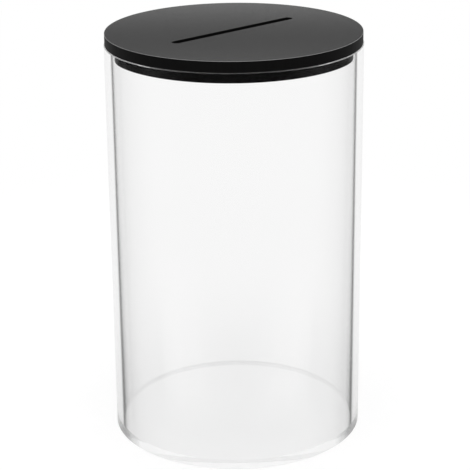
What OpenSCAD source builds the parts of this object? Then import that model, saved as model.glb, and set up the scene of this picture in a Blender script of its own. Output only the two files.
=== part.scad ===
// Money box: a clear tube with a clear base disc bonded into its foot, and a black lid that drops into its
// mouth. The lid is two bonded discs, a top disc that rests on the rim and a plug disc that centres it in
// the bore, with one coin slot cut through both.
// Millimetres, +Z up. The origin is on the table, on the axis of the tube. The coin slot runs along X.

/* [Tube] */
// Outside diameter of the clear tube
tube_od = 100; // [90:1:130]
// Wall thickness of the tube
tube_wall = 3; // [2:0.5:5]
// Length of the tube, from the table to its rim
tube_h = 158; // [100:1:240]

/* [Base] */
// Thickness of the clear disc in the foot of the tube
base_t = 3; // [2:0.5:6]

/* [Lid] */
// Thickness of the top disc
lid_t = 4.4; // [3:0.1:8]
// Thickness of the plug disc
plug_t = 4.4; // [3:0.1:8]
// How far the edge of the top disc stands in from the outside of the tube
lid_setback = 0.3; // [0:0.1:1]
// Play between the edge of the plug and the bore of the tube
plug_play = 1; // [0.5:0.05:2]

/* [Coin slot] */
// Length of the slot, over its round ends
slot_l = 61; // [40:1:66]
// Width of the slot
slot_w = 3.5; // [2.5:0.1:6]
// Width of the eased edge around the mouth of the slot
slot_ease = 0.15; // [0.1:0.05:0.8]

/* [Edges] */
// Width of the arris scraped off the rim of the tube and the edges of the lid
arris = 0.2; // [0.1:0.05:0.8]

/* [Hidden] */
$fn = 128;

tube_r = tube_od / 2;
bore_r = tube_r - tube_wall;
lid_r = tube_r - lid_setback;
plug_r = bore_r - plug_play;
slot_r = slot_w / 2;
// Distance between the centres of the slot's round ends
slot_run = slot_l - slot_w;
// How far a cutting shape runs past the face that it cuts
overrun = 1;

clear_acrylic = [0.90, 0.94, 0.95, 0.35];
black_acrylic = [0.03, 0.03, 0.035];

// A disc that stands on Z = 0, with an arris along both of its edges
module scraped_disc(r, t) {
    rotate_extrude()
        polygon([
            [0, 0],
            [r - arris, 0],
            [r, arris],
            [r, t - arris],
            [r - arris, t],
            [0, t]
        ]);
}

// A length of tube that stands on Z = 0, with an arris along both edges of its rim. Its foot stays square,
// because it is cut flush with the base that is bonded into it.
module scraped_tube(r_in, r_out, h) {
    rotate_extrude()
        polygon([
            [r_in, 0],
            [r_out, 0],
            [r_out, h - arris],
            [r_out - arris, h],
            [r_in + arris, h],
            [r_in, h - arris]
        ]);
}

// Straight-sided slot with half-round ends, through everything between Z = 0 and Z = t
module slot_through(t) {
    translate([0, 0, -overrun])
        linear_extrude(t + 2 * overrun)
            union() {
                square([slot_run, slot_w], center = true);
                for (side = [-1, 1])
                    translate([side * slot_run / 2, 0])
                        circle(r = slot_r);
            }
}

// The slot's mouth, eased at 45 degrees where it breaks the face at Z = t: a wedge along its straight
// sides, and a cone at each round end
module slot_mouth(t) {
    depth = slot_ease + overrun;
    translate([0, 0, t - slot_ease]) {
        rotate([90, 0, 90])
            linear_extrude(slot_run, center = true)
                polygon([
                    [-slot_r, 0],
                    [slot_r, 0],
                    [slot_r + depth, depth],
                    [-slot_r - depth, depth]
                ]);
        for (side = [-1, 1])
            translate([side * slot_run / 2, 0, 0])
                cylinder(h = depth, r1 = slot_r, r2 = slot_r + depth);
    }
}

// Clear tube, the wall of the box
module tube() {
    color(clear_acrylic)
        scraped_tube(bore_r, tube_r, tube_h);
}

// Clear disc with square edges, flush with the foot of the tube and bonded to its bore all round
module base_disc() {
    color(clear_acrylic)
        cylinder(h = base_t, r = bore_r);
}

// Top disc of the lid: it rests on the rim of the tube, and the mouth of its slot is eased for the coins
module lid_top() {
    color(black_acrylic)
        translate([0, 0, tube_h])
            difference() {
                scraped_disc(lid_r, lid_t);
                slot_through(lid_t);
                slot_mouth(lid_t);
            }
}

// Plug disc of the lid: it hangs in the bore with play all round, and carries the slot on down
module lid_plug() {
    color(black_acrylic)
        translate([0, 0, tube_h - plug_t])
            difference() {
                scraped_disc(plug_r, plug_t);
                slot_through(plug_t);
            }
}

tube();
base_disc();
lid_top();
lid_plug();
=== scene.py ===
"""Looks of a clear money box: a polished acrylic tube with a base bonded into its foot, and a black lid.

The lid is two black discs, bonded face to face, with one coin slot through both. Every size is read from the
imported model, in metres, so each new piece lies where its solid does. The box stands at the origin, +Z is up,
and the coin slot runs along X.
"""

from __future__ import annotations

import logging
import math
from collections.abc import Sequence
from dataclasses import dataclass
from enum import Enum, IntEnum

import bmesh
import bpy
from mathutils import Matrix, Vector

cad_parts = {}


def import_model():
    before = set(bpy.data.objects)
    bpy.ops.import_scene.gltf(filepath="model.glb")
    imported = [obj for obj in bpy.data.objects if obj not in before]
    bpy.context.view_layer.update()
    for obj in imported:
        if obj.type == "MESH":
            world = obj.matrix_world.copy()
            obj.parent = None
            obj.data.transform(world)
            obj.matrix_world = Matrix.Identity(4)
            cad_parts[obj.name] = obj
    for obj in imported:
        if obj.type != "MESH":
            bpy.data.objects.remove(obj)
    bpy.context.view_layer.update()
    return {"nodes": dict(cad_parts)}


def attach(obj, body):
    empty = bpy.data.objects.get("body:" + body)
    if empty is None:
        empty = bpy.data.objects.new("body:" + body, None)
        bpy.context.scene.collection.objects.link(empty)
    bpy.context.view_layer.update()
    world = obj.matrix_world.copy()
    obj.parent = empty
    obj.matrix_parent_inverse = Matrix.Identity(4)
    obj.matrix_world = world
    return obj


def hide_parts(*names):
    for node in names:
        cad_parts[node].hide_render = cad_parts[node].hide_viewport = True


LOG = logging.getLogger("money_box")

MM = 0.001
MICRON = 1e-6
# Points that lie closer than this are one point
WELD = 1e-7
# Sides of a round outline
ROUND_STEPS = 256
# Two faces that turn by more than this meet at a real edge
EDGE_TURN = math.pi / 4
# How far the normal of a level or an upright face may lean
LEAN = 0.01
# The share of a disc's radius that the coin slot stays within
SLOT_REACH = 0.9

ACRYLIC_IOR = 1.49
# What a plain face of acrylic mirrors when it is seen head-on
HEAD_ON = ((ACRYLIC_IOR - 1) / (ACRYLIC_IOR + 1)) ** 2

Grey = float
Span = tuple[float, float]
Colour = tuple[float, float, float, float]
# Places with their greys, in rising order
Stops = tuple[tuple[float, Grey], ...]
# What goes into a node's sockets, by name or number
Sockets = dict[str | int, object]

# Painted shade: how strongly the clear finishes darken towards the foot of the tube, by height
FOOT_SHADE_WEIGHT: Stops = ((0.0, 1.0), (0.25, 0.42), (0.6, 0.10), (1.0, 0.0))


class Node(Enum):
    """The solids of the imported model."""

    TUBE = "tube"
    BASE = "base_disc"
    LID_TOP = "lid_top"
    LID_PLUG = "lid_plug"


class Body(Enum):
    """The two bodies that the pieces ride on."""

    CONTAINER = "container"
    LID = "lid"


class Slot(Enum):
    """The material slots of the two kinds of acrylic."""

    CLEAR = "clear_acrylic"
    BLACK = "black_acrylic"


class TubeZone(IntEnum):
    """The tube's kinds of surface, in the order of its materials."""

    WALL = 0
    BORE = 1
    END = 2
    ARRIS = 3
    BOND = 4


class BaseZone(IntEnum):
    """The base's kinds of surface, in the order of its materials."""

    FACE = 0
    BOND = 1


class DiscZone(IntEnum):
    """A lid disc's kinds of surface, in the order of its materials."""

    FACE = 0
    EDGE = 1
    ARRIS = 2


class Level(Enum):
    """The two faces of a disc."""

    TOP = "top"
    BOTTOM = "bottom"


class Outline(Enum):
    """The two closed outlines of a slotted disc."""

    RIM = "rim"
    SLOT = "slot"


class Ray(Enum):
    """The kinds of ray that a finish can tell apart."""

    CAMERA = "Is Camera Ray"
    GLOSSY = "Is Glossy Ray"
    THROUGH = "Is Transmission Ray"
    DIFFUSE = "Is Diffuse Ray"
    SHADOW = "Is Shadow Ray"


@dataclass(frozen=True)
class Grain:
    """A noise that stays on the piece.

    Attributes:
        along: How many grains there are in a metre, along X, Y and Z.
        detail: How many finer layers lie on the first.
        span: The values of the noise between which a finish changes.
    """

    along: tuple[float, float, float]
    detail: float
    span: Span = (0.3, 0.7)


@dataclass(frozen=True)
class Low:
    """How a ramp differs low down on a piece.

    Attributes:
        stops: The ramp that counts there.
        weight: How much it counts, by height above the table as a share of the reach.
        reach: Height above the table, in metres, up to which it may count.
    """

    stops: Stops
    weight: Stops
    reach: float = 158 * MM


def plain(grey: Grey) -> Colour:
    """Makes a colour of one grey."""
    return (grey, grey, grey, 1.0)


class Graph:
    """A node tree that is filled by short calls."""

    def __init__(self, tree: bpy.types.NodeTree) -> None:
        """Takes over a node tree and empties it."""
        self.tree = tree
        tree.nodes.clear()

    def add(self, kind: str, inputs: Sockets | None = None, **settings: object) -> bpy.types.Node:
        """Adds one node.

        Args:
            kind: The node's type, such as ShaderNodeMath.
            inputs: What goes into its sockets, by name or number. A socket is linked, and a value is set.
            settings: The node's own settings.

        Returns:
            The new node.
        """
        node = self.tree.nodes.new(kind)
        for name, value in settings.items():
            setattr(node, name, value)
        for name, value in (inputs or {}).items():
            if isinstance(value, bpy.types.NodeSocket):
                self.tree.links.new(value, node.inputs[name])
            else:
                node.inputs[name].default_value = value
        return node

    def maths(self, operation: str, first: object, second: object) -> bpy.types.NodeSocket:
        """Works out one sum, such as MULTIPLY, of two sockets or numbers."""
        return self.add("ShaderNodeMath", {0: first, 1: second}, operation=operation).outputs[0]

    def spread(
        self, factor: bpy.types.NodeSocket, source: Span, target: Span, curve: str = "LINEAR"
    ) -> bpy.types.NodeSocket:
        """Moves a factor from one span into another, and no farther."""
        ends = {"Value": factor, 1: source[0], 2: source[1], 3: target[0], 4: target[1]}
        return self.add("ShaderNodeMapRange", ends, interpolation_type=curve).outputs[0]

    def ramp(self, factor: bpy.types.NodeSocket, stops: Stops) -> bpy.types.NodeSocket | Colour:
        """Turns a factor from 0 to 1 into a grey.

        Args:
            factor: The socket that is looked up.
            stops: Places from 0 to 1 with their greys, in rising order.

        Returns:
            The grey, as a colour socket, or as a plain colour if there is only one stop.
        """
        if len(stops) == 1:
            return plain(stops[0][1])
        node = self.add("ShaderNodeValToRGB", {"Fac": factor})
        band = node.color_ramp
        while len(band.elements) < len(stops):
            band.elements.new(1.0)
        for element, (place, grey) in zip(band.elements, stops):
            element.position = place
            element.color = plain(grey)
        return node.outputs["Color"]

    def switched(self, switch: bpy.types.NodeSocket, off: object, on: object) -> bpy.types.NodeSocket:
        """Gives one colour where a switch is 0, and another where it is 1."""
        return self.add("ShaderNodeMix", {0: switch, 6: off, 7: on}, data_type="RGBA").outputs[2]

    def times(self, first: object, second: object) -> bpy.types.NodeSocket:
        """Multiplies two colours."""
        colours = {0: 1.0, 6: first, 7: second}
        return self.add("ShaderNodeMix", colours, data_type="RGBA", blend_type="MULTIPLY").outputs[2]

    def lowered(
        self, factor: bpy.types.NodeSocket, stops: Stops, low: Low | None
    ) -> bpy.types.NodeSocket | Colour:
        """Turns a factor into a grey that may differ low down on the piece.

        Args:
            factor: The socket that is looked up.
            stops: Places from 0 to 1 with their greys, in rising order.
            low: The ramp low down, or None if it is the same there.

        Returns:
            The grey, as a colour socket or a plain colour.
        """
        grey = self.ramp(factor, stops)
        if low is None:
            return grey
        place = self.add("ShaderNodeTexCoord").outputs["Object"]
        height = self.add("ShaderNodeSeparateXYZ", {"Vector": place}).outputs["Z"]
        risen = self.maths("DIVIDE", height, low.reach)
        return self.switched(self.ramp(risen, low.weight), grey, self.ramp(factor, low.stops))

    def blend(
        self, share: bpy.types.NodeSocket, first: bpy.types.NodeSocket, second: bpy.types.NodeSocket
    ) -> bpy.types.NodeSocket:
        """Mixes a share of the second shader into the first."""
        return self.add("ShaderNodeMixShader", {0: share, 1: first, 2: second}).outputs[0]

    def ray(self, kind: Ray) -> bpy.types.NodeSocket:
        """Is 1 for one kind of ray, and 0 for the others."""
        return self.add("ShaderNodeLightPath").outputs[kind.value]

    def turned(self) -> bpy.types.NodeSocket:
        """Tells how far a face turns from the ray that meets it, from 0 to 1."""
        return self.add("ShaderNodeLayerWeight", {"Blend": 0.5}).outputs["Facing"]

    def from_behind(self) -> bpy.types.NodeSocket:
        """Is 1 where a ray meets the back of a face, and 0 elsewhere."""
        return self.add("ShaderNodeNewGeometry").outputs["Backfacing"]

    def noise(self, grain: Grain) -> bpy.types.NodeSocket:
        """Draws a grain on the piece.

        Args:
            grain: The grain.

        Returns:
            The noise, from 0 to 1.
        """
        place = self.add("ShaderNodeTexCoord").outputs["Object"]
        stretched = self.add("ShaderNodeMapping", {"Vector": place, "Scale": grain.along}).outputs[0]
        inputs = {"Vector": stretched, "Scale": 1.0, "Detail": grain.detail}
        return self.add("ShaderNodeTexNoise", inputs).outputs["Fac"]

    def bump(self, height: bpy.types.NodeSocket, depth: float) -> bpy.types.NodeSocket:
        """Makes a noise stand out of the surface by a depth in metres."""
        return self.add("ShaderNodeBump", {"Height": height, "Strength": 1.0, "Distance": depth}).outputs[0]

    def end(self, surface: bpy.types.NodeSocket) -> None:
        """Makes a shader the one that a material shows."""
        self.add("ShaderNodeOutputMaterial", {"Surface": surface})


def new_graph(name: str) -> tuple[bpy.types.Material, Graph]:
    """Makes a node material.

    Args:
        name: The material's name.

    Returns:
        The material and its empty graph.
    """
    material = bpy.data.materials.new(name)
    material.use_nodes = True
    return material, Graph(material.node_tree)


@dataclass(frozen=True)
class ClearAcrylic:
    """Clear acrylic, which bends the light that passes it and mirrors the rest, with painted shade and painted
    reflections from its ramps.

    Attributes:
        name: The material's name.
        passed: What a face lets through, by how much a plain face mirrors there. On the bore it paints dark
            lines, as painted shade, where light meets the bore at a slant.
        painted_foot_shade: Painted shade: what a face lets through low down on the piece, darker towards the
            foot, if it differs there.
        share: How much light is mirrored, by how much a plain face mirrors there.
        painted_glints: Painted reflection: a grey that makes what the outside mirrors brighter and darker, by
            how far a face turns from the eye.
        painted_low_glints: The same painted reflection low down on the piece, if it differs there.
        kept: How bright the light is that stays inside, by how far a face turns from it. On the bore it paints
            a dark line, as painted shade, where light only just stays inside.
        frost_and_sheen: How white a scraped face is, by how far it turns from the eye: partly the scraped
            face's own white, partly a painted sheen that grows where the face turns away.
        gloss: The lowest and highest roughness of the polish.
        wave: How deep the faint waves of the drawn tube are, in metres.
        streaks: The fine streaks of the polish, along Z.
        swell: The long waves of the drawn tube, along Z.
        scraped: The grey of a scraped face.
        lamplight: How much of the light of the lamp and the walls passes one face.
    """

    name: str
    passed: Stops = ((0.0, 0.9925),)
    painted_foot_shade: Low | None = None
    share: Stops = ((HEAD_ON, 0.005), (1.0, 1.0))
    painted_glints: Stops = ()
    painted_low_glints: Low | None = None
    kept: Stops = ((0.0, 1.0),)
    frost_and_sheen: Stops = ()
    gloss: Span = (0.0, 0.012)
    wave: float = 0.0
    streaks: Grain = Grain((900.0, 900.0, 25.0), 3.0, (0.45, 0.8))
    swell: Grain = Grain((60.0, 60.0, 4.0), 1.0)
    scraped: Grey = 0.9
    lamplight: Grey = 0.985

    def material(self) -> bpy.types.Material:
        """Builds the finish.

        Returns:
            A material that refracts what the eye sees, and lets the lamp and soft light pass.
        """
        material, graph = new_graph(self.name)
        skin = self.skin(graph)
        light = graph.maths("MAXIMUM", graph.ray(Ray.SHADOW), graph.ray(Ray.DIFFUSE))
        passing = graph.add("ShaderNodeBsdfTransparent", {"Color": plain(self.lamplight)})
        graph.end(graph.blend(light, skin, passing.outputs[0]))
        return material

    def polish(self, graph: Graph) -> Sockets:
        """Draws the streaks of the polish and the waves of the tube.

        Args:
            graph: The material's graph.

        Returns:
            What goes into the sockets of the face's shaders.
        """
        streaks = graph.noise(self.streaks)
        polish: Sockets = {"Roughness": graph.spread(streaks, self.streaks.span, self.gloss)}
        if self.wave:
            polish["Normal"] = graph.bump(graph.noise(self.swell), self.wave)
        return polish

    def skin(self, graph: Graph) -> bpy.types.NodeSocket:
        """Builds what the eye sees of a face.

        Args:
            graph: The material's graph.

        Returns:
            A shader that bends and mirrors light, with painted shade and painted reflections from its ramps,
            and is white where the face is scraped.
        """
        polish = self.polish(graph)
        mirroring = graph.add("ShaderNodeFresnel", {"IOR": ACRYLIC_IOR}).outputs[0]
        turned = graph.turned()
        # Painted shade and painted reflection: the grey of what a face mirrors comes from ramps of how far it
        # turns
        mirrored = graph.ramp(turned, self.kept)
        if self.painted_glints:
            painted_glints = graph.lowered(turned, self.painted_glints, self.painted_low_glints)
            mirrored = graph.switched(graph.from_behind(), painted_glints, mirrored)
        # Painted shade: what passes is darkened at a slant, and towards the foot
        passed = graph.lowered(mirroring, self.passed, self.painted_foot_shade)
        through = graph.add("ShaderNodeBsdfRefraction", polish | {"Color": passed, "IOR": ACRYLIC_IOR})
        glossy = graph.add("ShaderNodeBsdfAnisotropic", polish | {"Color": mirrored})
        skin = graph.blend(graph.ramp(mirroring, self.share), through.outputs[0], glossy.outputs[0])
        if self.frost_and_sheen:
            white = graph.add("ShaderNodeBsdfDiffuse", {"Color": plain(self.scraped)})
            skin = graph.blend(graph.ramp(turned, self.frost_and_sheen), skin, white.outputs[0])
        return skin


@dataclass(frozen=True)
class SolventBond:
    """The bonded joint, where two pieces of acrylic have become one and light passes unbent.

    Attributes:
        name: The material's name.
        passed: What one side of the joint lets through, by how far it turns from the eye; its dip is painted
            shade where the joint is seen at a slant.
        cloud: How much of that the cloudiest spots of the joint let through.
        spots: The cloudy spots.
    """

    name: str
    passed: Stops = ((0.20, 0.998), (0.23, 0.94), (0.255, 0.84), (0.30, 0.78), (0.33, 0.998))
    cloud: Grey = 0.99
    spots: Grain = Grain((400.0, 400.0, 900.0), 2.0)

    def material(self) -> bpy.types.Material:
        """Builds the finish.

        Returns:
            A material that doesn't bend light, with a faint cloudiness along the joint and painted shade where
            it is seen at a slant.
        """
        material, graph = new_graph(self.name)
        cloudy, clear = self.spots.span
        spots = graph.ramp(graph.noise(self.spots), ((cloudy, self.cloud), (clear, 1.0)))
        # The cloudy spots are the joint's own; the dip by how far it turns from the eye is painted shade
        shade = graph.times(spots, graph.ramp(graph.turned(), self.passed))
        passing = graph.add("ShaderNodeBsdfTransparent", {"Color": shade})
        graph.end(passing.outputs[0])
        return material


@dataclass(frozen=True)
class BlackAcrylic:
    """Black acrylic sheet, as cast, cut or scraped.

    Attributes:
        name: The material's name.
        shade: The lowest and highest grey of the black.
        gloss: The lowest and highest roughness.
        grain: The grain of the surface.
        depth: How deep the grain is, in metres.
        shine: How strongly the surface mirrors, where 0.5 is as the index of refraction has it.
    """

    name: str
    shade: Span
    gloss: Span
    grain: Grain
    depth: float
    shine: float = 0.5

    def material(self) -> bpy.types.Material:
        """Builds the finish.

        Returns:
            A material whose grey, gloss and bump follow one grain.
        """
        material, graph = new_graph(self.name)
        grain = graph.noise(self.grain)
        skin = graph.add("ShaderNodeBsdfPrincipled", {
            "Base Color": graph.ramp(grain, tuple(zip(self.grain.span, self.shade))),
            "Roughness": graph.spread(grain, self.grain.span, self.gloss),
            "Normal": graph.bump(grain, self.depth),
            "IOR": ACRYLIC_IOR,
            "Specular IOR Level": self.shine,
        })
        graph.end(skin.outputs[0])
        return material


@dataclass(frozen=True)
class RoundSize:
    """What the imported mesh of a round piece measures, in metres.

    Attributes:
        low: Height of its lowest point.
        high: Height of its highest point.
        inner: Least distance of its points from the axis.
        outer: Greatest distance of its points from the axis.
    """

    low: float
    high: float
    inner: float
    outer: float

    @classmethod
    def of(cls, solid: bpy.types.Object) -> RoundSize:
        """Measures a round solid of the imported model.

        Args:
            solid: The solid.

        Returns:
            Its sizes.
        """
        radii = [point.co.xy.length for point in solid.data.vertices]
        heights = [point.co.z for point in solid.data.vertices]
        return cls(min(heights), max(heights), min(radii), max(radii))


@dataclass(frozen=True)
class SlotSize:
    """What the coin slot measures, in metres.

    Attributes:
        half_length: Half of its length, over its round ends.
        half_width: Half of its width.
    """

    half_length: float
    half_width: float

    @classmethod
    def of(cls, solid: bpy.types.Object) -> SlotSize:
        """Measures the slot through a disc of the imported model.

        Args:
            solid: The disc, whose only points away from its rim are those of the slot.

        Returns:
            The slot's sizes.
        """
        within = SLOT_REACH * RoundSize.of(solid).outer
        around = [point.co for point in solid.data.vertices if point.co.xy.length < within]
        return cls(max(abs(point.x) for point in around), max(abs(point.y) for point in around))


def take_arris(
    mesh: bmesh.types.BMesh, edges: Sequence[bmesh.types.BMEdge], width: float, steps: int
) -> None:
    """Takes the arris off some edges.

    Args:
        mesh: The mesh that the edges are part of.
        edges: The sharp edges.
        width: How far the arris reaches from the edge, in metres.
        steps: How many faces lie across it.
    """
    bmesh.ops.bevel(
        mesh, geom=edges, offset=width, affect="EDGES", segments=steps, profile=0.5, material=-1
    )


def thicken(mesh: bmesh.types.BMesh, thickness: float) -> None:
    """Raises a flat sheet into a plate whose faces point outwards.

    Args:
        mesh: The sheet.
        thickness: How far it is raised, in metres.
    """
    raised = bmesh.ops.extrude_face_region(mesh, geom=mesh.faces[:])
    top = [item for item in raised["geom"] if isinstance(item, bmesh.types.BMVert)]
    bmesh.ops.translate(mesh, verts=top, vec=(0.0, 0.0, thickness))
    bmesh.ops.recalc_face_normals(mesh, faces=mesh.faces)


def finished_piece(
    name: str, mesh: bmesh.types.BMesh, materials: Sequence[bpy.types.Material]
) -> bpy.types.Object:
    """Turns a finished bmesh into an object at the origin.

    Args:
        name: The piece's name.
        mesh: The shape, whose faces carry the numbers of their materials. It is freed.
        materials: The piece's materials, in the order of those numbers.

    Returns:
        The new object, smooth within each kind of surface and sharp between two kinds.
    """
    for face in mesh.faces:
        face.smooth = True
    for edge in mesh.edges:
        edge.smooth = len({face.material_index for face in edge.link_faces}) == 1
    data = bpy.data.meshes.new(name)
    mesh.to_mesh(data)
    mesh.free()
    for material in materials:
        data.materials.append(material)
    piece = bpy.data.objects.new(name, data)
    bpy.context.scene.collection.objects.link(piece)
    return piece


def hand_over(piece: bpy.types.Object, node: Node, body: Body) -> None:
    """Puts a piece in the place of a solid, on a body.

    Args:
        piece: The finished piece.
        node: The solid that it stands for.
        body: The body that it rides on.
    """
    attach(piece, body.value)
    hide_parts(node.value)


@dataclass
class Container:
    """The clear tube and the clear disc that is bonded into its foot.

    Attributes:
        tube: Sizes of the tube.
        base: Sizes of the base disc.
        rim_arris: Width of the scraped arris along the edges of the tube's rim.
        foot_arris: Width of the edge that is left around the tube's foot, which is cut flush with the base.
        rim_gap: The film of air between the tube's rim and the lid that rests on it.
        arris_steps: How many faces lie across an arris.
        wall_finish: Finish of the outside, with painted reflections and painted shade towards the foot.
        bore_finish: Finish of the bore, with painted dark lines along its sides and painted shade towards the
            foot. Light that meets it at too flat a slant stays in the wall.
        cut_finish: Finish of the sawn and sanded ends.
        arris_finish: Finish of the scraped arrises, partly their own white and partly a painted sheen.
        face_finish: Finish of the base's two faces.
        bond_finish: Finish of the joint between the tube and the base, with painted shade where it is seen at
            a slant.
    """

    tube: RoundSize
    base: RoundSize
    rim_arris: float = 0.16 * MM
    foot_arris: float = 0.05 * MM
    rim_gap: float = 0.05 * MM
    arris_steps: int = 1
    wall_finish: ClearAcrylic = ClearAcrylic(
        "clear_wall",
        # Painted shade: the wall lets less light through towards the foot
        painted_foot_shade=Low(((0.12, 0.9925), (0.17, 0.89), (0.35, 0.94), (1.0, 0.98)), FOOT_SHADE_WEIGHT),
        # Painted reflection: what the outside mirrors is made brighter and darker by how far the wall turns
        # from the eye
        painted_glints=(
            (0.10, 0.40), (0.19, 1.0), (0.27, 1.0), (0.36, 0.30),
            (0.55, 0.12), (0.60, 0.7), (0.66, 1.0),
        ),
        # Painted reflection: two bright upright bands low down on the wall
        painted_low_glints=Low(
            (
                (0.085, 0.4), (0.135, 6.0), (0.195, 6.0), (0.285, 0.6),
                (0.55, 0.12), (0.60, 0.7), (0.66, 1.0),
            ),
            ((0.10, 0.0), (0.20, 1.0), (0.30, 0.9), (0.44, 0.3), (0.56, 0.0)),
        ),
        wave=2.0 * MICRON,
    )
    bore_finish: ClearAcrylic = ClearAcrylic(
        "clear_bore",
        # Painted shade: dark lines along the bore's sides, where light meets it at a slant
        passed=(
            (0.04, 0.995), (0.085, 0.984), (0.215, 0.952), (0.36, 0.905),
            (0.5, 0.74), (0.75, 0.44), (1.0, 0.34),
        ),
        # Painted shade: the bore lets less light through towards the foot
        painted_foot_shade=Low(
            (
                (0.04, 0.995), (0.085, 0.974), (0.215, 0.89), (0.36, 0.76),
                (0.5, 0.48), (0.75, 0.16), (1.0, 0.10),
            ),
            FOOT_SHADE_WEIGHT,
        ),
        share=((0.97, 0.0), (0.999, 1.0)),
        # Painted shade: a dark line where light only just stays inside the wall
        kept=((0.2575, 0.20), (0.2605, 0.25), (0.266, 0.97)),
    )
    cut_finish: ClearAcrylic = ClearAcrylic("clear_cut_edge", gloss=(0.03, 0.12))
    arris_finish: ClearAcrylic = ClearAcrylic(
        "clear_scraped_arris_and_sheen",
        # Partly the scraped face's own white, partly a painted sheen that grows where the arris turns from the
        # eye
        frost_and_sheen=((0.14, 0.03), (0.18, 0.07), (0.23, 0.19), (0.28, 0.31), (0.37, 0.46), (0.60, 0.52)),
        gloss=(0.03, 0.12),
    )
    face_finish: ClearAcrylic = ClearAcrylic("clear_face", passed=((0.0, 0.997),))
    bond_finish: SolventBond = SolventBond("clear_bond")

    def build(self) -> list[bpy.types.Object]:
        """Makes both pieces and hands them over.

        Returns:
            The tube and the base.
        """
        cut_faces = (self.wall_finish, self.bore_finish, self.cut_finish, self.arris_finish)
        bond = self.bond_finish.material()
        tube_materials = [*(finish.material() for finish in cut_faces), bond]
        tube = finished_piece("clear_tube", self.tube_mesh(), tube_materials)
        hand_over(tube, Node.TUBE, Body.CONTAINER)
        base = finished_piece("clear_base", self.base_mesh(), (self.face_finish.material(), bond))
        hand_over(base, Node.BASE, Body.CONTAINER)
        return [tube, base]

    def tube_mesh(self) -> bmesh.types.BMesh:
        """Spins the wall's section round the axis and scrapes its open edges.

        Returns:
            The tube's mesh, with the foot of its bore kept apart as the joint with the base.
        """
        mesh = bmesh.new()
        inner, outer, rim = self.tube.inner, self.tube.outer, self.tube.high - self.rim_gap
        section = ((inner, 0.0), (outer, 0.0), (outer, rim), (inner, rim), (inner, self.base.high))
        points = [mesh.verts.new((radius, 0.0, height)) for radius, height in section]
        sides = [mesh.edges.new((points[i - 1], points[i])) for i in range(len(points))]
        bmesh.ops.spin(
            mesh, geom=points + sides, cent=(0.0, 0.0, 0.0), axis=(0.0, 0.0, 1.0), angle=math.tau,
            steps=ROUND_STEPS, use_merge=True,
        )
        bmesh.ops.remove_doubles(mesh, verts=mesh.verts, dist=WELD)
        bmesh.ops.recalc_face_normals(mesh, faces=mesh.faces)
        self.scrape(mesh)
        for face in mesh.faces:
            face.material_index = self.tube_zone(face)
        return mesh

    def scrape(self, mesh: bmesh.types.BMesh) -> None:
        """Takes the arris off both edges of the rim, and off the outer edge of the foot.

        Args:
            mesh: The tube.
        """
        mid_wall = (self.tube.inner + self.tube.outer) / 2
        corners = [edge for edge in mesh.edges if edge.calc_face_angle() > EDGE_TURN]
        at_rim = [edge for edge in corners if edge.verts[0].co.z > self.base.high]
        at_foot = [edge for edge in corners if edge.verts[0].co.z < self.base.high]
        outside = [edge for edge in at_foot if edge.verts[0].co.xy.length > mid_wall]
        take_arris(mesh, at_rim, self.rim_arris, self.arris_steps)
        take_arris(mesh, outside, self.foot_arris, self.arris_steps)

    def tube_zone(self, face: bmesh.types.BMFace) -> TubeZone:
        """Names the kind of surface that a face of the tube belongs to.

        Args:
            face: One face of the tube.

        Returns:
            Its zone.
        """
        middle = face.calc_center_median()
        slope = abs(face.normal.z)
        if slope > 1 - LEAN:
            return TubeZone.END
        if slope > LEAN:
            return TubeZone.ARRIS
        if face.normal.xy.dot(middle.xy) > 0:
            return TubeZone.WALL
        return TubeZone.BOND if middle.z < self.base.high else TubeZone.BORE

    def base_mesh(self) -> bmesh.types.BMesh:
        """Makes the base disc, whose edge is one with the tube.

        Returns:
            The disc's mesh.
        """
        mesh = bmesh.new()
        bmesh.ops.create_circle(mesh, cap_ends=True, segments=ROUND_STEPS, radius=self.base.outer)
        thicken(mesh, self.base.high)
        for face in mesh.faces:
            face.material_index = BaseZone.FACE if abs(face.normal.z) > LEAN else BaseZone.BOND
        return mesh


@dataclass(frozen=True)
class Easing:
    """An arris taken off one outline of a disc.

    Attributes:
        level: The face whose edge is eased.
        outline: The outline that is eased.
        width: How far the arris reaches, in metres.
    """

    level: Level
    outline: Outline
    width: float


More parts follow.
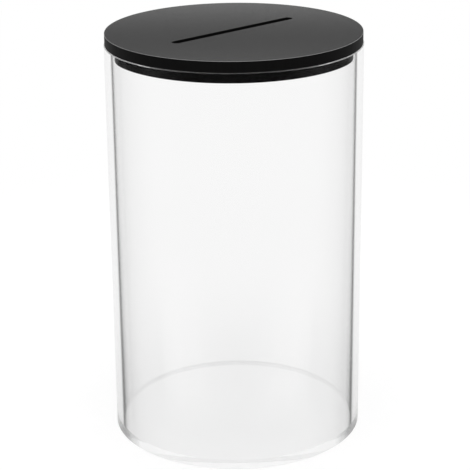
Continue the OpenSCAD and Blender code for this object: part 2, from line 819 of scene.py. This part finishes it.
@dataclass
class SlottedDisc:
    """A round black disc with a straight round-ended slot through its middle.

    Attributes:
        name: The piece's name.
        node: The solid that it stands for.
        size: Sizes of the disc.
        slot: Sizes of the slot.
        easings: The arrises taken off its edges.
        end_steps: How many sides each round end of the slot has.
        arris_steps: How many faces lie across an arris.
    """

    name: str
    node: Node
    size: RoundSize
    slot: SlotSize
    easings: Sequence[Easing]
    end_steps: int = 32
    arris_steps: int = 3

    @property
    def between(self) -> float:
        """A distance from the axis that lies between the slot and the rim."""
        return (self.slot.half_length + self.size.outer) / 2

    def mesh(self) -> bmesh.types.BMesh:
        """Bridges the slot's outline to the rim, gives the sheet its thickness and eases its edges.

        Returns:
            The disc's mesh, with the numbers of its zones on its faces.
        """
        mesh = bmesh.new()
        bmesh.ops.create_circle(mesh, cap_ends=False, segments=ROUND_STEPS, radius=self.size.outer)
        rim = mesh.edges[:]
        slot = self.slot_outline(mesh)
        bmesh.ops.bridge_loops(mesh, edges=rim + slot)
        bmesh.ops.translate(mesh, verts=mesh.verts, vec=(0.0, 0.0, self.size.low))
        thicken(mesh, self.size.high - self.size.low)
        for easing in self.easings:
            self.ease(mesh, easing)
        for face in mesh.faces:
            face.material_index = self.zone(face)
        return mesh

    def slot_outline(self, mesh: bmesh.types.BMesh) -> list[bmesh.types.BMEdge]:
        """Draws the slot: a circle whose halves are drawn apart, with points added along its straight sides.

        Args:
            mesh: The mesh that takes the outline.

        Returns:
            The outline's edges, as many as the rim has.
        """
        run = self.slot.half_length - self.slot.half_width
        points = 2 * self.end_steps
        # The circle's flats, turned to face Y, are the slot's two sides
        radius = self.slot.half_width / math.cos(math.pi / points)
        turned = Matrix.Rotation(math.pi / points, 4, "Z")
        circle = bmesh.ops.create_circle(mesh, cap_ends=False, segments=points, radius=radius, matrix=turned)
        ring = circle["verts"]
        for side in (-1.0, 1.0):
            half = [vert for vert in ring if vert.co.x * side > 0]
            bmesh.ops.translate(mesh, verts=half, vec=(side * run, 0.0, 0.0))
        edges = list({edge for vert in ring for edge in vert.link_edges})
        sides = [edge for edge in edges if edge.calc_length() > run]
        bmesh.ops.subdivide_edges(mesh, edges=sides, cuts=(ROUND_STEPS - points) // 2)
        return [edge for edge in mesh.edges if edge.verts[0].co.xy.length < self.between]

    def ease(self, mesh: bmesh.types.BMesh, easing: Easing) -> None:
        """Takes one arris off the disc.

        Args:
            mesh: The disc.
            easing: The arris.
        """
        height = self.size.high if easing.level is Level.TOP else self.size.low
        edges = [
            edge for edge in mesh.edges
            if edge.calc_face_angle() > EDGE_TURN
            and all(abs(vert.co.z - height) < WELD for vert in edge.verts)
            and (edge.verts[0].co.xy.length > self.between) is (easing.outline is Outline.RIM)
        ]
        take_arris(mesh, edges, easing.width, self.arris_steps)

    def zone(self, face: bmesh.types.BMFace) -> DiscZone:
        """Names the kind of surface that a face of the disc belongs to.

        Args:
            face: One face of the disc.

        Returns:
            Its zone, where the slot's mouth counts as a cut edge.
        """
        slope = abs(face.normal.z)
        if slope > 1 - LEAN:
            return DiscZone.FACE
        at_rim = face.calc_center_median().xy.length > self.between
        return DiscZone.ARRIS if slope > LEAN and at_rim else DiscZone.EDGE


@dataclass
class Lid:
    """The black lid: a top disc that rests on the tube's rim, and a plug disc that hangs in its bore.

    Attributes:
        top: Sizes of the top disc.
        plug: Sizes of the plug disc.
        slot: Sizes of the slot through both.
        arris: Width of the arris around the lid's top.
        mouth: Width of the eased edge around the slot's mouth.
        cut_edge: Width of the edge that the cutter leaves on the hidden outlines.
        face_finish: Finish of the cast faces.
        edge_finish: Finish of the cut edges.
        arris_finish: Finish of the scraped arrises, whose light grey is partly their own and partly a painted
            highlight.
    """

    top: RoundSize
    plug: RoundSize
    slot: SlotSize
    arris: float = 0.08 * MM
    mouth: float = 0.15 * MM
    cut_edge: float = 0.1 * MM
    face_finish: BlackAcrylic = BlackAcrylic(
        "black_face",
        shade=(0.0045, 0.0055),
        gloss=(0.05, 0.09),
        grain=Grain((9000.0, 9000.0, 9000.0), 4.0),
        depth=1.5 * MICRON,
    )
    edge_finish: BlackAcrylic = BlackAcrylic(
        "black_cut_edge",
        shade=(0.004, 0.006),
        gloss=(0.45, 0.60),
        grain=Grain((2200.0, 2200.0, 40.0), 4.0),
        depth=4.0 * MICRON,
        shine=0.03,
    )
    arris_finish: BlackAcrylic = BlackAcrylic(
        "black_scraped_arris_and_highlight",
        # Partly the scraped face's own grey, partly a painted highlight along the lid's edges
        shade=(0.30, 0.40),
        gloss=(0.40, 0.55),
        grain=Grain((3000.0, 3000.0, 3000.0), 4.0),
        depth=6.0 * MICRON,
    )

    def build(self) -> list[bpy.types.Object]:
        """Makes both discs and hands them over.

        Returns:
            The top disc and the plug disc.
        """
        finishes = (self.face_finish, self.edge_finish, self.arris_finish)
        materials = [finish.material() for finish in finishes]
        pieces = []
        for disc in (self.top_disc(), self.plug_disc()):
            piece = finished_piece(disc.name, disc.mesh(), materials)
            hand_over(piece, disc.node, Body.LID)
            pieces.append(piece)
        return pieces

    def top_disc(self) -> SlottedDisc:
        """Lays out the disc that closes the tube.

        Returns:
            A disc that is eased around its rim and around the slot's mouth.
        """
        easings = (
            Easing(Level.TOP, Outline.RIM, self.arris),
            Easing(Level.BOTTOM, Outline.RIM, self.cut_edge),
            Easing(Level.TOP, Outline.SLOT, self.mouth),
        )
        return SlottedDisc("lid_top_disc", Node.LID_TOP, self.top, self.slot, easings)

    def plug_disc(self) -> SlottedDisc:
        """Lays out the disc that centres the lid in the bore.

        Returns:
            A disc that is eased around its underside.
        """
        easings = (
            Easing(Level.BOTTOM, Outline.RIM, self.cut_edge),
            Easing(Level.BOTTOM, Outline.SLOT, self.cut_edge),
        )
        return SlottedDisc("lid_plug_disc", Node.LID_PLUG, self.plug, self.slot, easings)


@dataclass(frozen=True)
class Sky:
    """The studio's walls as one kind of ray sees them.

    Attributes:
        stops: Heights above the floor's plane in degrees, from -90 to 90, with their greys.
    """

    stops: Stops

    @property
    def below(self) -> Grey:
        """The grey below the floor's plane."""
        return self.stops[0][1]

    def grey(self, graph: Graph, height: bpy.types.NodeSocket) -> bpy.types.NodeSocket:
        """Looks the grey up.

        Args:
            graph: The world's graph.
            height: The sine of the ray's height, moved into 0 to 1.

        Returns:
            The grey, as a colour socket.
        """
        places = tuple(((math.sin(math.radians(angle)) + 1) / 2, grey) for angle, grey in self.stops)
        return graph.ramp(height, places)


@dataclass
class Studio:
    """The white studio around the box: its walls, floor, lamp and camera.

    Attributes:
        soft: The walls as they light matt surfaces.
        mirrored: The walls as a glossy surface mirrors them.
        seen_through: The walls as they are seen through the clear tube.
        floor_radius: Radius of the floor.
        floor_steps: Sides of the floor.
        floor_fade: Distances from the axis between which the floor turns into the walls' greys.
        floor_left: The share of the floor's own finish that is left beyond them.
        floor_drop: How far the floor lies below the box, so that the two never share a plane.
        floor_grey: The floor's own grey.
        floor_glow: How much brighter the eye sees the floor than it is lit.
        floor_glow_through: The same, as it is seen through the clear tube or mirrored.
        lamp_height: Height of the lamp.
        lamp_forward: How far the lamp hangs from the axis, towards the camera.
        lamp_side: Length of the square lamp's side.
        lamp_watts: Power of the lamp.
        camera_reach: Distance of the camera from the axis.
        camera_height: Height of the camera.
        camera_pitch: How far the camera looks down, in radians.
        camera_yaw: How far it looks to the right of the axis, in radians.
        camera_roll: How far it leans, in radians.
        slot_turn: How far the box is turned about its axis before the camera, in radians.
        focal_pixels: Focal length, in pixels of the picture.
        frame_pixels: Width of the picture, in pixels.
        light_bounces: How many times light may be bent or mirrored.
    """

    soft: Sky = Sky(((-90.0, 0.70), (90.0, 0.70)))
    mirrored: Sky = Sky((
        (-90.0, 0.90), (10.0, 0.90), (12.0, 0.57), (12.7, 0.14),
        (13.4, 0.14), (14.4, 0.43), (30.0, 0.30), (90.0, 0.8),
    ))
    seen_through: Sky = Sky(((-90.0, 0.96), (90.0, 0.96)))
    floor_radius: float = 0.80
    floor_steps: int = 64
    floor_fade: Span = (0.20, 0.34)
    floor_left: float = 0.02
    floor_drop: float = 0.2 * MM
    floor_grey: Grey = 0.50
    floor_glow: Grey = 0.57
    floor_glow_through: Grey = 0.475
    lamp_height: float = 1.4
    lamp_forward: float = 0.2
    lamp_side: float = 1.2
    lamp_watts: float = 7.1
    camera_reach: float = 0.62853
    camera_height: float = 0.30692
    camera_pitch: float = 0.3483
    camera_yaw: float = -0.0005
    camera_roll: float = -0.0103
    slot_turn: float = math.radians(41.98)
    focal_pixels: float = 1668.29
    frame_pixels: int = 470
    light_bounces: int = 32

    @property
    def facing(self) -> Matrix:
        """The turn that brings a place before the camera round to the turned box."""
        return Matrix.Rotation(-self.slot_turn, 4, "Z")

    def build(self) -> None:
        """Sets up the whole studio."""
        self.build_camera()
        self.build_world()
        self.build_floor()
        self.build_lamp()
        scene = bpy.context.scene
        scene.view_settings.view_transform = "Standard"
        scene.cycles.max_bounces = self.light_bounces
        scene.cycles.transmission_bounces = self.light_bounces
        scene.cycles.glossy_bounces = self.light_bounces
        scene.cycles.transparent_max_bounces = self.light_bounces

    def build_camera(self) -> None:
        """Stands the camera where the photograph was taken from."""
        pitch, yaw, roll = self.camera_pitch, self.camera_yaw, self.camera_roll
        ahead = Vector((math.sin(yaw) * math.cos(pitch), math.cos(yaw) * math.cos(pitch), -math.sin(pitch)))
        level = Vector((math.cos(yaw), -math.sin(yaw), 0.0))
        above = level.cross(ahead)
        right = math.cos(roll) * level + math.sin(roll) * above
        up = math.cos(roll) * above - math.sin(roll) * level
        pose = Matrix((right, up, -ahead)).transposed().to_4x4()
        pose.translation = (0.0, -self.camera_reach, self.camera_height)
        lens = bpy.data.cameras.new("camera")
        lens.lens = self.focal_pixels / self.frame_pixels * lens.sensor_width
        camera = bpy.data.objects.new("camera", lens)
        camera.matrix_world = self.facing @ pose
        bpy.context.scene.collection.objects.link(camera)
        bpy.context.scene.camera = camera

    def build_world(self) -> None:
        """Paints the studio's walls, which are plain white to the eye."""
        world = bpy.data.worlds.new("studio")
        world.use_nodes = True
        world.cycles.sampling_method = "NONE"
        bpy.context.scene.world = world
        graph = Graph(world.node_tree)
        direction = graph.add("ShaderNodeTexCoord").outputs["Generated"]
        sine = graph.add("ShaderNodeSeparateXYZ", {"Vector": direction}).outputs["Z"]
        height = graph.spread(sine, (-1.0, 1.0), (0.0, 1.0))
        greys = [sky.grey(graph, height) for sky in (self.soft, self.mirrored, self.seen_through)]
        back = graph.add("ShaderNodeBackground", {"Color": self.by_ray(graph, *greys)})
        graph.add("ShaderNodeOutputWorld", {"Surface": back.outputs[0]})

    @staticmethod
    def by_ray(graph: Graph, soft: object, mirrored: object, seen_through: object) -> bpy.types.NodeSocket:
        """Gives each kind of ray its own grey, and the eye plain white.

        Args:
            graph: The graph that takes the nodes.
            soft: The grey that lights matt surfaces.
            mirrored: The grey that glossy surfaces mirror.
            seen_through: The grey that is seen through the clear tube.

        Returns:
            The grey, as a colour socket.
        """
        grey = graph.switched(graph.ray(Ray.GLOSSY), soft, mirrored)
        grey = graph.switched(graph.ray(Ray.THROUGH), grey, seen_through)
        return graph.switched(graph.ray(Ray.CAMERA), grey, plain(1.0))

    def build_floor(self) -> None:
        """Lays a pale floor that keeps the box's soft shadow and fades into the walls."""
        mesh = bmesh.new()
        bmesh.ops.create_circle(mesh, cap_ends=True, segments=self.floor_steps, radius=self.floor_radius)
        bmesh.ops.translate(mesh, verts=mesh.verts, vec=(0.0, 0.0, -self.floor_drop))
        floor = finished_piece("studio_floor", mesh, (self.floor_material(),))

    def floor_material(self) -> bpy.types.Material:
        """Builds the floor's finish.

        Returns:
            A matt pale material that glows a little to the eye, takes on the walls' greys farther out, and is
            clear from below.
        """
        material, graph = new_graph("pale_floor")
        material.cycles.emission_sampling = "NONE"
        matt = graph.add("ShaderNodeBsdfDiffuse", {"Color": plain(self.floor_grey)})
        straight = graph.maths("MULTIPLY", graph.ray(Ray.CAMERA), self.floor_glow)
        through = graph.maths("MULTIPLY", graph.ray(Ray.GLOSSY), self.floor_glow_through)
        glow = graph.add("ShaderNodeEmission", {"Strength": graph.maths("ADD", straight, through)})
        lit = graph.add("ShaderNodeAddShader", {0: matt.outputs[0], 1: glow.outputs[0]})
        greys = [plain(sky.below) for sky in (self.soft, self.mirrored, self.seen_through)]
        walls = graph.add("ShaderNodeEmission", {"Color": self.by_ray(graph, *greys)})
        place = graph.add("ShaderNodeTexCoord").outputs["Object"]
        away = graph.add("ShaderNodeVectorMath", {0: place}, operation="LENGTH").outputs["Value"]
        fade = graph.spread(away, self.floor_fade, (0.0, 1.0 - self.floor_left), "SMOOTHSTEP")
        above = graph.blend(fade, lit.outputs[0], walls.outputs[0])
        clear = graph.add("ShaderNodeBsdfTransparent")
        graph.end(graph.blend(graph.from_behind(), above, clear.outputs[0]))
        return material

    def build_lamp(self) -> None:
        """Hangs one large soft lamp over the box, towards the camera."""
        light = bpy.data.lights.new("overhead_lamp", "AREA")
        light.shape = "SQUARE"
        light.size = self.lamp_side
        light.energy = self.lamp_watts
        lamp = bpy.data.objects.new("overhead_lamp", light)
        lamp.location = self.facing @ Vector((0.0, -self.lamp_forward, self.lamp_height))
        lamp.visible_camera = False
        # Seen through the wall from above, the lamp would break the ring of the foot
        lamp.visible_transmission = False
        bpy.context.scene.collection.objects.link(lamp)


def main() -> None:
    """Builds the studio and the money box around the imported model, and reports each piece."""
    logging.basicConfig(level=logging.INFO, format="%(name)s: %(message)s")
    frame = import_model()
    solids = frame["nodes"]
    sizes = {node: RoundSize.of(solids[node.value]) for node in Node}
    slot = SlotSize.of(solids[Node.LID_PLUG.value])
    Studio().build()
    container = Container(sizes[Node.TUBE], sizes[Node.BASE])
    lid = Lid(sizes[Node.LID_TOP], sizes[Node.LID_PLUG], slot)
    for assembly in (container, lid):
        for piece in assembly.build():
            LOG.info("%s: %d faces", piece.name, len(piece.data.polygons))


if __name__ == "__main__":
    main()
